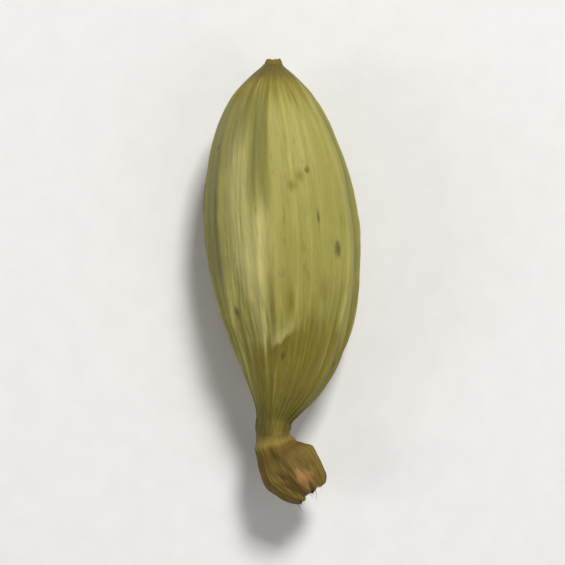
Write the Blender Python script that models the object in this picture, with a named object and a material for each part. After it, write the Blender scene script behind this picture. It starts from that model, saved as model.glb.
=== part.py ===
"""Green cardamom pod, dried, lying on its flattest side.

The pod is one grown piece: a three-lobed capsule with raised lengthwise ribs, a stalk scar at its
rounded base, and a neck that ends in the withered, hooked remnant of its flower.
+X runs from the base to the flower end, +Y across, +Z up. The origin is under the middle of the
pod, on the surface that it lies on. The skin is a loft: rings of points stand across a bent spine,
and each ring follows the lobes, grooves and ribs.
"""

import math

import bmesh
import bpy
import numpy as np

MM = 0.001

# Driving sizes.
BODY_LENGTH = 14.4 * MM  # base to the end of the neck's taper
BELLY_WIDTH = 5.72 * MM
BELLY_FLATTENING = 0.90  # height of a cross-section over its width
NECK_RADIUS = 0.68 * MM
NECK_END = 14.95 * MM  # where the green neck meets the brown remnant
REMNANT_LENGTH = 2.75 * MM
REMNANT_RADIUS = 1.14 * MM
SCAR_RADIUS = 0.40 * MM
SCAR_LENGTH = 0.22 * MM
FLAT_SPOT_DEPTH = 0.20 * MM  # how much of the underside is pressed flat where the pod lies

# How the width swells and tapers: t**BASE_FULLNESS * (1 - t)**NECK_TAPER along the body.
BASE_FULLNESS = 0.60
NECK_TAPER = 0.68
SCAR_BLEND = (0.2 * MM, 1.6 * MM)  # where the scar melts into the body
NECK_BLEND = (0.70, 0.90)  # where the neck takes over, as shares of BODY_LENGTH

# The spine bows sideways along the body, and hooks at the remnant.
BOW = 0.66 * MM
HOOK_ANGLE = math.radians(40)
HOOK_START = 13.8 * MM
HOOK_END = 16.5 * MM
DROOP = 0.20 * MM  # how far the spine has dropped at the end of the neck

# The three lobes, by the direction each faces. 0 degrees faces +Y, and 90 degrees faces up.
LOBE_ANGLES = [math.radians(a) for a in (82, 206, 328)]
LOBE_HEIGHT = 0.13  # share of the local radius
LOBE_TIGHTNESS = 3.2
GROOVE_ANGLES = [math.radians(a) for a in (108, 243, 8)]
GROOVE_REACH = (5.0 * MM, 11.5 * MM, 11.5 * MM)  # how far each runs before it has half died out
GROOVE_FADING = 1.6 * MM
GROOVE_DEPTH = 0.06
GROOVE_WIDTH = math.radians(8)
LOBES_GROW = (0.0, 0.16)  # where the lobes rise at the base, as shares of BODY_LENGTH
LOBES_FADE = (0.80, 0.97)  # and where they die out towards the neck

RIBS = 27
RIB_HEIGHT = 0.095 * MM
RIB_HALF_WIDTH = 0.28  # share of the space from one rib to the next
RIB_LOW = 0.25  # the lowest and highest ribs, as a share of RIB_HEIGHT
RIB_HIGH = 1.2
RIB_SHIFT = 0.30  # how far a rib stands from its even place, as a share of that space
RIB_SEED = 17
KEEL_RIBS = (2, 11, 20)
KEEL_HEIGHT = 1.4
RIB_WANDER = math.radians(1.6)
RIB_WAVE = 11.0 * MM
TWIST = math.radians(7)  # how far the ribs turn round the pod along the body
RIBS_GROW = (0.0, 1.3 * MM)
RIBS_FADE = (NECK_END - 0.4 * MM, NECK_END)
RIB_THINNING = 0.6  # 0 keeps the ribs' height where the pod is thin, 1 lowers it in proportion

# Seeds press the skin out in low mounds, in rows along each lobe.
SEEDS_PER_LOBE = 5
SEED_ROW = (0.18, 0.80)  # where each row begins and ends, as shares of BODY_LENGTH
SEED_SCATTER = 0.5  # radians that a seed may lie beside its lobe's middle
SEED_MOUND = 0.024
SEED_LENGTH = 1.6 * MM
SEED_WIDTH = math.radians(22)
MOUND_SEED = 41

# The remnant's collar, its shrivelled folds, and the ragged cup in its torn end.
COLLAR_HEIGHT = 0.10 * MM
COLLAR_PLACE = 0.30 * MM
COLLAR_WIDTH = 0.17 * MM
FLARE_LENGTH = 1.5 * MM
FOLDS = 5
FOLD_DEPTH = 0.075
FINE_FOLDS = 9
FINE_FOLD_DEPTH = 0.030
FOLDS_GROW = (NECK_END, NECK_END + 0.6 * MM)
RIM_WIDTH = 0.58  # the rim's radius as a share of the remnant's
RIM_RAGGEDNESS = 0.09 * MM
RIM_WAVES = ((3, 1.0, 0.4), (7, 0.6, 0.0), (4, 0.5, 2.0))  # waves round the rim, share and phase
CUP_DEPTH = 0.55 * MM
CUP_STEP = 0.15  # how much each ring of the cup draws in, as a share of the rim
CUP_ROUNDING = 0.28  # how much more its floor draws in

# Mesh: points across each rib, and rings along each stretch.
POINTS_PER_RIB = 5
SCAR_RINGS = 3
BODY_RINGS = 27
REMNANT_RINGS = 11
CUP_RINGS = 3

SKIN_GREEN = (0.40, 0.39, 0.14, 1.0)


def smoothstep(low, high, value):
    """0 below low, 1 above high, and smooth between."""
    share = np.clip((value - low) / (high - low), 0.0, 1.0)
    return share * share * (3.0 - 2.0 * share)


def angle_between(a, b):
    """The signed angle from b to a, within half a turn."""
    return (a - b + math.pi) % (2.0 * math.pi) - math.pi


def spine_offset(s):
    """Height of the spine over its straight stretch, at arc length s."""
    return -DROOP * (np.maximum(s, 0.0) / NECK_END) ** 4


def heading(s):
    """Direction of the spine in plan, as an angle from +X."""
    share = np.clip(s / BODY_LENGTH, 0.0, 1.0)
    bowed = BOW * math.pi * 2.0 * share / BODY_LENGTH * np.cos(math.pi * share**2)
    hook = smoothstep(HOOK_START, HOOK_END, s)
    return bowed * (1.0 - hook) + HOOK_ANGLE * hook


def spine_frames(stations):
    """Centre, side and up directions at each arc length in stations."""
    start = stations.min()
    fine = np.linspace(start, stations.max(), 1200)
    step = fine[1] - fine[0]
    angle = heading(fine)
    x = start + np.concatenate([[0.0], np.cumsum(np.cos(angle[:-1]) * step)])
    y = np.concatenate([[0.0], np.cumsum(np.sin(angle[:-1]) * step)])
    z = spine_offset(fine)
    centre = np.stack([np.interp(stations, fine, axis) for axis in (x, y, z)], axis=-1)
    slope = np.interp(stations, fine, np.gradient(z, step))
    turn = heading(stations)
    along = np.stack([np.cos(turn), np.sin(turn), slope], axis=-1)
    along /= np.linalg.norm(along, axis=-1, keepdims=True)
    side = np.stack([-np.sin(turn), np.cos(turn), np.zeros_like(turn)], axis=-1)
    up = np.cross(along, side)
    return centre, side, up


def body_radius(s):
    """Half the width of the swelling body, scar and neck at arc length s."""
    share = np.clip(s / BODY_LENGTH, 0.0, 1.0)
    widest = BASE_FULLNESS / (BASE_FULLNESS + NECK_TAPER)
    peak = widest**BASE_FULLNESS * (1.0 - widest) ** NECK_TAPER
    swell = share**BASE_FULLNESS * (1.0 - share) ** NECK_TAPER / peak
    belly = swell * BELLY_WIDTH / 2.0
    scar = SCAR_RADIUS * (1.0 - smoothstep(*SCAR_BLEND, s))
    scar *= np.sqrt(1.0 - 0.6 * np.clip(-s / SCAR_LENGTH, 0.0, 1.0) ** 3)
    neck = NECK_RADIUS * smoothstep(*NECK_BLEND, s / BODY_LENGTH)
    return (belly**3 + scar**3 + neck**3) ** (1.0 / 3.0)


def remnant_radius(s):
    """Half the width of the flower's remnant: a collar, a flare, then a rim drawn in a little."""
    beyond = s - NECK_END
    collar = COLLAR_HEIGHT * np.exp(-(((beyond - COLLAR_PLACE) / COLLAR_WIDTH) ** 2))
    flare = (REMNANT_RADIUS - NECK_RADIUS) * smoothstep(0.1 * MM, FLARE_LENGTH, beyond)
    drawn_in = np.sqrt(1.0 - (1.0 - RIM_WIDTH**2) * np.clip(beyond / REMNANT_LENGTH, 0.0, 1.0) ** 5)
    return (NECK_RADIUS + collar + flare) * drawn_in


def rib_draws():
    """How high each rib stands, and how far it stands from its even place. Three keels are highest."""
    draw = np.random.default_rng(RIB_SEED)
    heights = draw.uniform(RIB_LOW, RIB_HIGH, RIBS)
    heights[list(KEEL_RIBS)] = KEEL_HEIGHT
    return heights, draw.uniform(-RIB_SHIFT, RIB_SHIFT, RIBS)


def skin_angle(s, rib):
    """The direction that the skin faces: ribs are unevenly spaced, wander, and turn round the pod."""
    shifts = rib_draws()[1]
    placed = rib + np.interp(rib % RIBS, np.arange(RIBS + 1), np.append(shifts, shifts[0]))
    turn = 2.0 * math.pi * placed / RIBS
    wander = RIB_WANDER * np.sin(2.0 * math.pi * s / RIB_WAVE + 2.0 * np.sin(turn))
    return turn + wander + TWIST * s / BODY_LENGTH


def grooves(s, angle):
    """1 in the middle of each groove, 0 away from them and where they have died out."""
    depth = np.zeros_like(angle)
    for groove, reach in zip(GROOVE_ANGLES, GROOVE_REACH):
        across = np.exp(-((angle_between(angle, groove) / GROOVE_WIDTH) ** 2))
        depth += across * (1.0 - smoothstep(reach - GROOVE_FADING, reach + GROOVE_FADING, s))
    return depth


def lobed(s, angle):
    """The cross-section's outline, as a share of its radius: three lobes with a groove beside each."""
    outline = np.full_like(angle, 1.0 - 0.45 * LOBE_HEIGHT)
    for lobe in LOBE_ANGLES:
        outline += LOBE_HEIGHT * np.exp(LOBE_TIGHTNESS * (np.cos(angle - lobe) - 1.0))
    return outline - GROOVE_DEPTH * grooves(s, angle)


def seed_mounds(s, angle):
    """Low mounds where the seeds under each lobe press the skin out."""
    draw = np.random.default_rng(MOUND_SEED)
    first, last = SEED_ROW
    mounds = np.zeros_like(angle)
    for lobe in LOBE_ANGLES:
        for number in range(SEEDS_PER_LOBE):
            share = (number + draw.uniform(0.2, 0.8)) / SEEDS_PER_LOBE
            place = BODY_LENGTH * (first + (last - first) * share)
            aside = lobe + draw.uniform(-SEED_SCATTER, SEED_SCATTER)
            along = ((s - place) / SEED_LENGTH) ** 2
            across = (angle_between(angle, aside) / SEED_WIDTH) ** 2
            mounds += SEED_MOUND * draw.uniform(0.4, 1.0) * np.exp(-along - across)
    return mounds


def rib_pattern(rib):
    """Height of the ribs across the pod, where rib counts them round it and may be a fraction."""
    pattern = np.zeros_like(rib)
    for number, height in enumerate(rib_draws()[0]):
        across = (rib - number + RIBS / 2.0) % RIBS - RIBS / 2.0
        pattern += height * np.exp(-((across / RIB_HALF_WIDTH) ** 2))
    return pattern


def skin(s, rib):
    """Points of the pod's skin at arc length s and rib number rib, before it is set down."""
    angle = skin_angle(s, rib)
    on_body = smoothstep(*LOBES_GROW, s / BODY_LENGTH) * (1.0 - smoothstep(*LOBES_FADE, s / BODY_LENGTH))
    shape = 1.0 + on_body * (lobed(s, angle) - 1.0 + seed_mounds(s, angle))
    folds = FOLD_DEPTH * np.sin(FOLDS * angle + 0.9) + FINE_FOLD_DEPTH * np.sin(FINE_FOLDS * angle)
    shape = shape * (1.0 + smoothstep(*FOLDS_GROW, s) * folds)
    smooth = np.where(s < NECK_END, body_radius(s), remnant_radius(s))
    ribbed = smoothstep(*RIBS_GROW, s) * (1.0 - smoothstep(*RIBS_FADE, s))
    rib_share = ribbed * (smooth / (BELLY_WIDTH / 2.0)) ** RIB_THINNING
    radius = smooth * shape + RIB_HEIGHT * rib_share * rib_pattern(rib)
    flattened = 1.0 - (1.0 - BELLY_FLATTENING) * on_body
    centre, side, up = spine_frames(s[:, 0])
    sideways = (radius * np.cos(angle))[..., None] * side[:, None, :]
    upward = (radius * flattened * np.sin(angle))[..., None] * up[:, None, :]
    return centre[:, None, :] + sideways + upward


def body_stations():
    """Arc lengths of the rings on the scar, body and neck, closer together towards both ends."""
    scar = np.linspace(-SCAR_LENGTH, 0.0, SCAR_RINGS, endpoint=False)
    share = 0.5 - 0.5 * np.cos(np.linspace(0.0, math.pi, BODY_RINGS))
    even = np.linspace(0.0, 1.0, BODY_RINGS)
    body = NECK_END * (0.55 * share + 0.45 * even)
    return np.concatenate([scar, body])


def remnant_stations():
    """Arc lengths of the rings on the flower's remnant, closer together at the collar."""
    share = np.linspace(0.0, 1.0, REMNANT_RINGS + 1)[1:]
    return NECK_END + REMNANT_LENGTH * share**1.25


def remnant_direction():
    """The way that the remnant's torn end faces."""
    centre, side, up = spine_frames(np.array([-SCAR_LENGTH, NECK_END + REMNANT_LENGTH]))
    return np.cross(side[1], up[1])


def tear(points, s, rib):
    """Moves the end of the remnant in and out along its length, so that its rim is ragged."""
    turn = 2.0 * math.pi * rib / RIBS
    ragged = sum(share * np.sin(waves * turn + phase) for waves, share, phase in RIM_WAVES)
    near_end = smoothstep(NECK_END + 0.5 * REMNANT_LENGTH, NECK_END + REMNANT_LENGTH, s)
    return points + (RIM_RAGGEDNESS * near_end * ragged)[..., None] * remnant_direction()


def cup_rings(rim):
    """Rings that step inwards and down from the remnant's rim, into its torn end."""
    middle = rim.mean(axis=0)
    outward = remnant_direction()
    level = rim - ((rim - middle) @ outward)[:, None] * outward
    rings = []
    for number in range(1, CUP_RINGS + 1):
        share = number / CUP_RINGS
        wide = 1.0 - CUP_STEP * number - CUP_ROUNDING * share**2
        deep = CUP_DEPTH * smoothstep(-0.3, 1.0, share)
        ragged = rim * (1.0 - share) + level * share
        rings.append(middle + (ragged - middle) * wide - outward * deep)
    return rings


def set_down(points):
    """Presses the lowest part of the skin flat, and puts the origin under the pod's middle."""
    floor = points[..., 2].min() + FLAT_SPOT_DEPTH
    points[..., 2] = np.maximum(points[..., 2], floor)
    flat = points.reshape(-1, 3)
    middle = (flat.min(axis=0) + flat.max(axis=0)) / 2.0
    return points - np.array([middle[0], middle[1], floor])


def loft(rings):
    """One closed mesh through the rings, with a flat face over the first and the last."""
    mesh = bmesh.new()
    loops = [[mesh.verts.new(point) for point in ring] for ring in rings]
    for lower, upper in zip(loops, loops[1:]):
        for here in range(len(lower)):
            there = (here + 1) % len(lower)
            mesh.faces.new((lower[here], upper[here], upper[there], lower[there]))
    mesh.faces.new(loops[0])
    mesh.faces.new(reversed(loops[-1]))
    bmesh.ops.recalc_face_normals(mesh, faces=mesh.faces)
    return mesh


def skin_material():
    """The dried skin: matt, pale olive green."""
    material = bpy.data.materials.new("pod_skin")
    material.use_nodes = True
    shader = material.node_tree.nodes["Principled BSDF"]
    shader.inputs["Base Color"].default_value = SKIN_GREEN
    shader.inputs["Roughness"].default_value = 0.6
    shader.inputs["Metallic"].default_value = 0.0
    return material


def make_pod():
    """The whole pod as one named object."""
    stations = np.concatenate([body_stations(), remnant_stations()])
    ribs = np.arange(RIBS * POINTS_PER_RIB) / POINTS_PER_RIB
    s, rib = np.meshgrid(stations, ribs, indexing="ij")
    points = tear(skin(s, rib), s, rib)
    points = np.concatenate([points, np.stack(cup_rings(points[-1]))])
    mesh = loft(set_down(points))
    data = bpy.data.meshes.new("pod")
    mesh.to_mesh(data)
    mesh.free()
    data.shade_smooth()
    data.materials.append(skin_material())
    pod = bpy.data.objects.new("pod", data)
    bpy.context.scene.collection.objects.link(pod)
    return pod


for old in list(bpy.data.objects):
    bpy.data.objects.remove(old)
make_pod()
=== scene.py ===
import math

import bpy
import numpy as np
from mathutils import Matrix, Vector


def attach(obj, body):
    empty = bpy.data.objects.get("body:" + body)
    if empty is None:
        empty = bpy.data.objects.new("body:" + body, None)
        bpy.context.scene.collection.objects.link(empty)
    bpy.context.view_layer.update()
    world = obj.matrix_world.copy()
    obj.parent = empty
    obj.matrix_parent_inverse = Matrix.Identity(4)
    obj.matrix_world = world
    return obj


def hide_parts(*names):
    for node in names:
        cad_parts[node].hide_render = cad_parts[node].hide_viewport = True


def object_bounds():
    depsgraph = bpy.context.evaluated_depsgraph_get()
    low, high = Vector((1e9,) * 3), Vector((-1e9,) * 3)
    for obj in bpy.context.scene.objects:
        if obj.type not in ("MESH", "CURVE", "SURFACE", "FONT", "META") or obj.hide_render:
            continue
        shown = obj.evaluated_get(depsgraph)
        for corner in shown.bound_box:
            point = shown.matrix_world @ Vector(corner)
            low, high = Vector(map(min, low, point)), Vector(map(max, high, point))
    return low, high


# Looks of a dried green cardamom pod. Metres, +Z up, +X towards the flower end. The husk, the stub
# of its stalk and the withered flower are fine meshes on the same form as the pod's solid: rings of
# points stand across a bent spine, and each ring follows the lobes, grooves and ribs.

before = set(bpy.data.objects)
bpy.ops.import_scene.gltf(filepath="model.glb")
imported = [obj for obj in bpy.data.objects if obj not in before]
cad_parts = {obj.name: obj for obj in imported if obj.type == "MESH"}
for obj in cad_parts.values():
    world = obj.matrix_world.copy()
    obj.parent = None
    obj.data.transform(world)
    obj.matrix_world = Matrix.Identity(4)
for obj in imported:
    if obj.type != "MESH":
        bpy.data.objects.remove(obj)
cad_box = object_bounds()

MM = 0.001

# The pod's form, as in its solid.
BODY_LENGTH = 14.4 * MM
BELLY_WIDTH = 5.72 * MM
BELLY_FLATTENING = 0.90
NECK_RADIUS = 0.68 * MM
NECK_END = 14.95 * MM
REMNANT_LENGTH = 2.75 * MM
FLOWER_END = NECK_END + REMNANT_LENGTH
REMNANT_RADIUS = 1.14 * MM
SCAR_RADIUS = 0.40 * MM
SCAR_LENGTH = 0.22 * MM
FLAT_SPOT_DEPTH = 0.20 * MM
BASE_FULLNESS = 0.60
NECK_TAPER = 0.68
SCAR_BLEND = (0.2 * MM, 1.6 * MM)  # where the scar melts into the body
NECK_BLEND = (0.70, 0.90)  # where the neck takes over, as shares of BODY_LENGTH
BOW = 0.66 * MM
HOOK_ANGLE = math.radians(40)
HOOK_START = 13.8 * MM
HOOK_END = 16.5 * MM
DROOP = 0.20 * MM
LOBE_ANGLES = [math.radians(a) for a in (82, 206, 328)]
LOBE_HEIGHT = 0.13
LOBE_TIGHTNESS = 3.2
GROOVE_ANGLES = [math.radians(a) for a in (108, 243, 8)]
GROOVE_DEPTH = 0.06
GROOVE_WIDTH = math.radians(8)
GROOVE_REACH = (5.0 * MM, 11.5 * MM, 11.5 * MM)
GROOVE_FADING = 1.6 * MM
LOBES_GROW = (0.0, 0.16)  # where the lobes rise at the base, as shares of BODY_LENGTH
LOBES_FADE = (0.80, 0.97)  # and where they die out towards the neck
RIBS = 27
RIB_HEIGHT = 0.095 * MM
RIB_HALF_WIDTH = 0.28
RIB_LOW = 0.25
RIB_HIGH = 1.2
RIB_SHIFT = 0.30
RIB_SEED = 17
KEEL_RIBS = (2, 11, 20)
KEEL_HEIGHT = 1.4
RIB_WANDER = math.radians(1.6)
RIB_WAVE = 11.0 * MM
TWIST = math.radians(7)
RIBS_GROW = (0.0, 1.3 * MM)
RIBS_FADE = (NECK_END - 0.4 * MM, NECK_END)
RIB_THINNING = 0.6  # 0 keeps the ribs' height where the pod is thin, 1 lowers it in proportion
SEEDS_PER_LOBE = 5
SEED_ROW = (0.18, 0.80)  # where each row begins and ends, as shares of BODY_LENGTH
SEED_SCATTER = 0.5  # radians that a seed may lie beside its lobe's middle
SEED_MOUND = 0.024
SEED_LENGTH = 1.6 * MM
SEED_WIDTH = math.radians(22)
MOUND_SEED = 41
COLLAR_HEIGHT = 0.10 * MM
COLLAR_PLACE = 0.30 * MM
COLLAR_WIDTH = 0.17 * MM
FLARE_LENGTH = 1.5 * MM
FOLDS = 5
FOLD_DEPTH = 0.075
FINE_FOLDS = 9
FINE_FOLD_DEPTH = 0.030
FOLDS_GROW = (NECK_END, NECK_END + 0.6 * MM)
RIM_WIDTH = 0.58
RIM_RAGGEDNESS = 0.09 * MM
RIM_WAVES = ((3, 1.0, 0.4), (7, 0.6, 0.0), (4, 0.5, 2.0))  # waves round the rim, share and phase

# Fine relief of the husk. Noises: height, then the number of cells along the pod and around it.
# Widths and the sway are shares of the space from one rib to the next.
RIDGE_HEIGHT = 0.046 * MM
RIDGE_HALF_WIDTH = 0.11
RIDGE_STRENGTH = 0.65
RIDGE_CHANGES = (0.55, 8, RIBS)
RIDGE_SWAY = (0.16, 9, RIBS)
VEIN_HEIGHT = 0.036 * MM
VEIN_HALF_WIDTH = 0.10
VEIN_STRENGTH = 0.45
VEIN_CHANGES = (0.90, 6, RIBS)
STRONGEST_VEIN = 1.2
VEIN_SWAY = 1.3  # how many times further the veins sway than the ridges
GRAIN_TURN = 0.02  # how far the striae and wrinkles turn round the pod, as a share of a turn
STRIAE = (0.020 * MM, 22, 150)
FINE_STRIAE = (0.011 * MM, 48, 330)
WRINKLES = (0.045 * MM, 13, 42)
DENTS = (0.070 * MM, 7, 9)
RIPPLES = (0.024 * MM, 44, 26)
RIPPLES_LOWERED = 0.5  # how much lower the ripples are on the body than at its ends
SMOOTHING = 0.35  # how much lower the relief is under the waxy coat
RELIEF_SEED = 5

# A small torn flap across the top of the pod: where its lower edge lies, and its size.
FLAP_PLACE = 10.87 * MM
FLAP_ANGLE = math.radians(95)
FLAP_WIDTH = math.radians(11)
FLAP_RISE = 0.42 * MM  # how far it slopes up from the base's side
FLAP_FALL = 0.09 * MM  # and drops at its lower edge
FLAP_SLANT = 0.40 * MM
FLAP_WAVE = 0.05 * MM
FLAP_HEIGHT = 0.050 * MM
FLAP_SHADE = (2.6 * FLAP_FALL, 1.4 * FLAP_FALL)  # where its shade lies, and half its width

# A thin furrow with a pale lip along the pod's left shoulder.
# The furrow is coloured darker as painted shade, and the lip paler as a painted highlight:
SLIT_PLACE = 9.1 * MM
SLIT_LENGTH = 1.25 * MM
SLIT_ANGLE = math.radians(138)
SLIT_LEAN = math.radians(3.0)  # how far it turns for each millimetre along the pod
SLIT_WIDTH = math.radians(2.2)
SLIT_DEPTH = 0.045 * MM
LIP_ASIDE = math.radians(7)
LIP_WIDTH = 1.8 * SLIT_WIDTH
LIP_HEIGHT = 0.5 * SLIT_DEPTH

# Dark marks on the skin: place along the pod, the angle they face, half their length and width.
SPECKS = [
    (7.6 * MM, 45, 0.40 * MM, 0.20 * MM),
    (9.9 * MM, 145, 0.36 * MM, 0.17 * MM),
    (4.38 * MM, 66, 0.19 * MM, 0.14 * MM),
    (6.3 * MM, 62, 0.40 * MM, 0.07 * MM),
    (11.8 * MM, 20, 0.15 * MM, 0.11 * MM),
    (3.2 * MM, 160, 0.12 * MM, 0.08 * MM),
    (11.6 * MM, 95, 0.24 * MM, 0.10 * MM),
    (8.7 * MM, 300, 0.20 * MM, 0.14 * MM),
    (5.4 * MM, 230, 0.17 * MM, 0.12 * MM),
    (10.2 * MM, 262, 0.26 * MM, 0.10 * MM),
]
STREAKS = [
    (4.6 * MM, 73, 0.24 * MM, 0.18 * MM),
    (4.95 * MM, 80, 0.22 * MM, 0.20 * MM),
    (9.7 * MM, 103, 1.20 * MM, 0.15 * MM),
    (9.5 * MM, 89, 0.60 * MM, 0.16 * MM),
    (9.0 * MM, 62, 0.60 * MM, 0.14 * MM),
    (10.3 * MM, 72, 0.70 * MM, 0.30 * MM),
    (10.7 * MM, 75, 0.36 * MM, 0.24 * MM),
    (10.1 * MM, 44, 1.10 * MM, 0.22 * MM),
    (11.2 * MM, 128, 0.90 * MM, 0.20 * MM),
    (10.0 * MM, 332, 1.10 * MM, 0.20 * MM),
    (9.2 * MM, 214, 1.30 * MM, 0.18 * MM),
    (9.9 * MM, 250, 1.00 * MM, 0.22 * MM),
]

# Where the husk's colours change. A pair is where a smooth change begins and ends: a distance along
# the pod, or an angle round it in degrees, where 90 faces up. Two pairs are a rise and a fall.
RIB_COLOUR_WIDTH = 0.8 * RIB_HALF_WIDTH
# The grooves are darkened with painted shade:
GROOVE_DARKNESS = 0.85
GROOVE_BEGINS = (0.3 * MM, 1.5 * MM)
WAX_ALONG = ((0.8 * MM, 2.6 * MM), (8.4 * MM, 10.4 * MM))
# The shade below is painted shade: darker colour on the left side and at the base.
SHADE_STRENGTH = 0.75
SHADE_ALONG = ((0.6 * MM, 1.4 * MM), (7.5 * MM, 10.0 * MM))
SHADE_BEGINS = 117.0
SHADE_NARROWS = (2.6 * MM, 4.6 * MM)
SHADE_NARROWING = 27.0  # how many degrees further left it begins after that
SHADE_FADES = (190.0, 230.0)
# A painted highlight, paler and greyer, on the left shoulder:
PAINTED_SHOULDER_HIGHLIGHT_STRENGTH = 0.75
PAINTED_SHOULDER_HIGHLIGHT_ALONG = ((2.0 * MM, 4.2 * MM), (7.5 * MM, 10.0 * MM))
PAINTED_SHOULDER_HIGHLIGHT_AROUND = ((110.0, 119.0), (130.0, 150.0))
# A painted highlight, the palest line, down the left shoulder:
PAINTED_CREST_HIGHLIGHT_STRENGTH = 0.8
CREST_ALONG = ((4.6 * MM, 6.4 * MM), (10.8 * MM, 11.8 * MM))
CREST_ANGLE = 108.0
CREST_HALF_WIDTH = 11.0
CREST_LEAN = 2.6  # how many degrees it turns for each millimetre of its leaning part
CREST_LEANS_FROM = 6.0 * MM
CREST_LEANING_LENGTH = 5.0 * MM
# A painted highlight over the top of the pod:
PAINTED_TOP_HIGHLIGHT_STRENGTH = 0.25
CROWN_ALONG = ((1.4 * MM, 3.0 * MM), (3.0 * MM, 6.0 * MM))
CROWN_FACES = (70, 20)  # the middle and half the width
OLIVE_EDGE = ((0.45 * MM, 3, RIBS), (0.30 * MM, 4, 80))  # noises, as in the relief
EDGE_SEED = 12
OLIVE_LEAN = 1.0 * MM  # how much nearer the base the olive begins on the side that it leans to
OLIVE_LEANS_TO = math.radians(40)
OLIVE_DARKEST_AT = math.radians(75)
OLIVE_NEAR_NECK = (10.2 * MM, 12.2 * MM)
OLIVE_LEAST = 0.62
OLIVE_MORE_ON_TOP = 0.26
OLIVE_HINT = (7.6 * MM, 10.5 * MM)
OLIVE_HINT_STRENGTH = 0.30
# At the base the olive is partly painted shadow:
OLIVE_AND_PAINTED_SHADOW_AT_BASE = (0.35 * MM, 2.8 * MM)
OLIVE_AND_PAINTED_SHADOW_STRENGTH = 0.95
BROWN_STRENGTH = 0.85
BROWN_TIP = (0.1 * MM, 1.2 * MM)
BROWN_NECK = (NECK_END - 2.1 * MM, NECK_END - 0.3 * MM)
# Less brown along the neck's top, as a painted highlight:
PAINTED_NECK_HIGHLIGHT_FACES = (75, 26)
PAINTED_NECK_HIGHLIGHT_STRENGTH = 0.40

# The withered flower's wall, the cup in its torn end, and the pale patch near that end.
WALL = 0.11 * MM
CUP_DEPTH = 1.15 * MM
SUNK = 0.5 * MM  # how far its root lies inside the neck
ROOT_INSET = 0.06 * MM
CRUMPLES = ((0.075, 4, 13), (0.040, 9, 34), (0.016, 6, 110))  # noises, as shares of the radius
RIM_TEARS = (1.1, 1, 31)  # a noise, as a share of RIM_RAGGEDNESS
FLOWER_SEED = 23
PALE_COLLAR_PLACE = COLLAR_PLACE - 0.05 * MM
# The collar is painted palest on the side that this faces, as painted light:
PAINTED_COLLAR_LIGHT_FACES = math.radians(120)  # the direction where the collar is palest
BAND_PLACE = 0.72 * MM
BAND_WIDTH = 0.24 * MM
PATCH_PLACE = 2.0 * MM
PATCH_ANGLE = math.radians(72)
PATCH_SIZE = 0.50 * MM

# The stub of the stalk, and the torn fibres.
STUB_RADIUS = 1.03 * SCAR_RADIUS
STUB_ROOT = 0.30 * MM  # how far it reaches into the husk
DISH_DEPTH = 0.10 * MM
KNOT_HEIGHT = 0.06 * MM
STUB_LUMPS = ((0.09, 3, 9), (0.05, 5, 40))  # noises, as shares of the radius
STUB_TEARS = (0.045 * MM, 1, 23)
STUB_SEED = 7
FIBRES = 13
FIBRE_LENGTH = 0.42 * MM
FIBRE_RADIUS = 0.017 * MM
FIBRE_TAPER = 0.7
FIBRE_ROOT = 0.05 * MM  # how far inside the rim it is rooted
FIBRE_LEAN = 0.35
FIBRE_SAG = 0.4
FIBRE_SEED = 3

# Mesh density.
POINTS_PER_RIB = 20
BODY_RINGS = 170
BUNCHING = 0.4  # how much closer the rings stand at both ends, from 0 to 1
FLOWER_POINTS = 324
FLOWER_RINGS = 62
STUB_POINTS = 144
STUB_RINGS = 22
FIBRE_POINTS = 6
FIBRE_RINGS = 8

# Camera, light and floor.
LENS = 200.0
SENSOR = 36.0
VIEW_HEIGHT = 22.6 * MM  # what the picture shows from top to bottom
KEY_LIGHT = {"place": (-0.230, 0.090, 0.270), "size": 0.090, "power": 1.40}
FILL_LIGHT = {"place": (0.15, 0.26, 0.27), "size": 0.24, "power": 0.20}
RIM_LIGHT = {"place": (0.04, -0.30, 0.20), "size": 0.15, "power": 0.24}
LIGHTS_AIM = (0.0, 0.0, 2.0 * MM)
SKY = (1.0, 0.985, 0.96)
SKY_STRENGTH = 0.26
FLOOR_HALF_WIDTH = 0.5

# Colours, in scene-linear light.
STRAW = (0.455, 0.405, 0.135)
SKIN = (0.350, 0.318, 0.066)
VALLEY = (0.245, 0.230, 0.038)
WAXY = (0.290, 0.263, 0.066)
# A painted highlight on the left shoulder:
PAINTED_SHOULDER_HIGHLIGHT = (0.435, 0.394, 0.152)
# A painted highlight line down the left shoulder:
PAINTED_CREST_HIGHLIGHT = (0.530, 0.478, 0.172)
# Painted shade on the left side and at the base:
PAINTED_SHADE = (0.185, 0.170, 0.050)
# Painted shade in the grooves; this colour also makes random dark lines:
GROOVE = (0.150, 0.139, 0.032)
OLIVE = (0.165, 0.126, 0.009)
NECK_BROWN = (0.092, 0.071, 0.008)
SPECK = (0.062, 0.049, 0.011)
TAN = (0.230, 0.166, 0.032)
UMBER = (0.066, 0.041, 0.006)
ASH = (0.190, 0.128, 0.024)
BAND = (0.095, 0.054, 0.004)
PINK = (0.330, 0.165, 0.056)
FLOOR_DARKER = (0.71, 0.70, 0.68)
FLOOR_PALER = (0.73, 0.72, 0.70)

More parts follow.
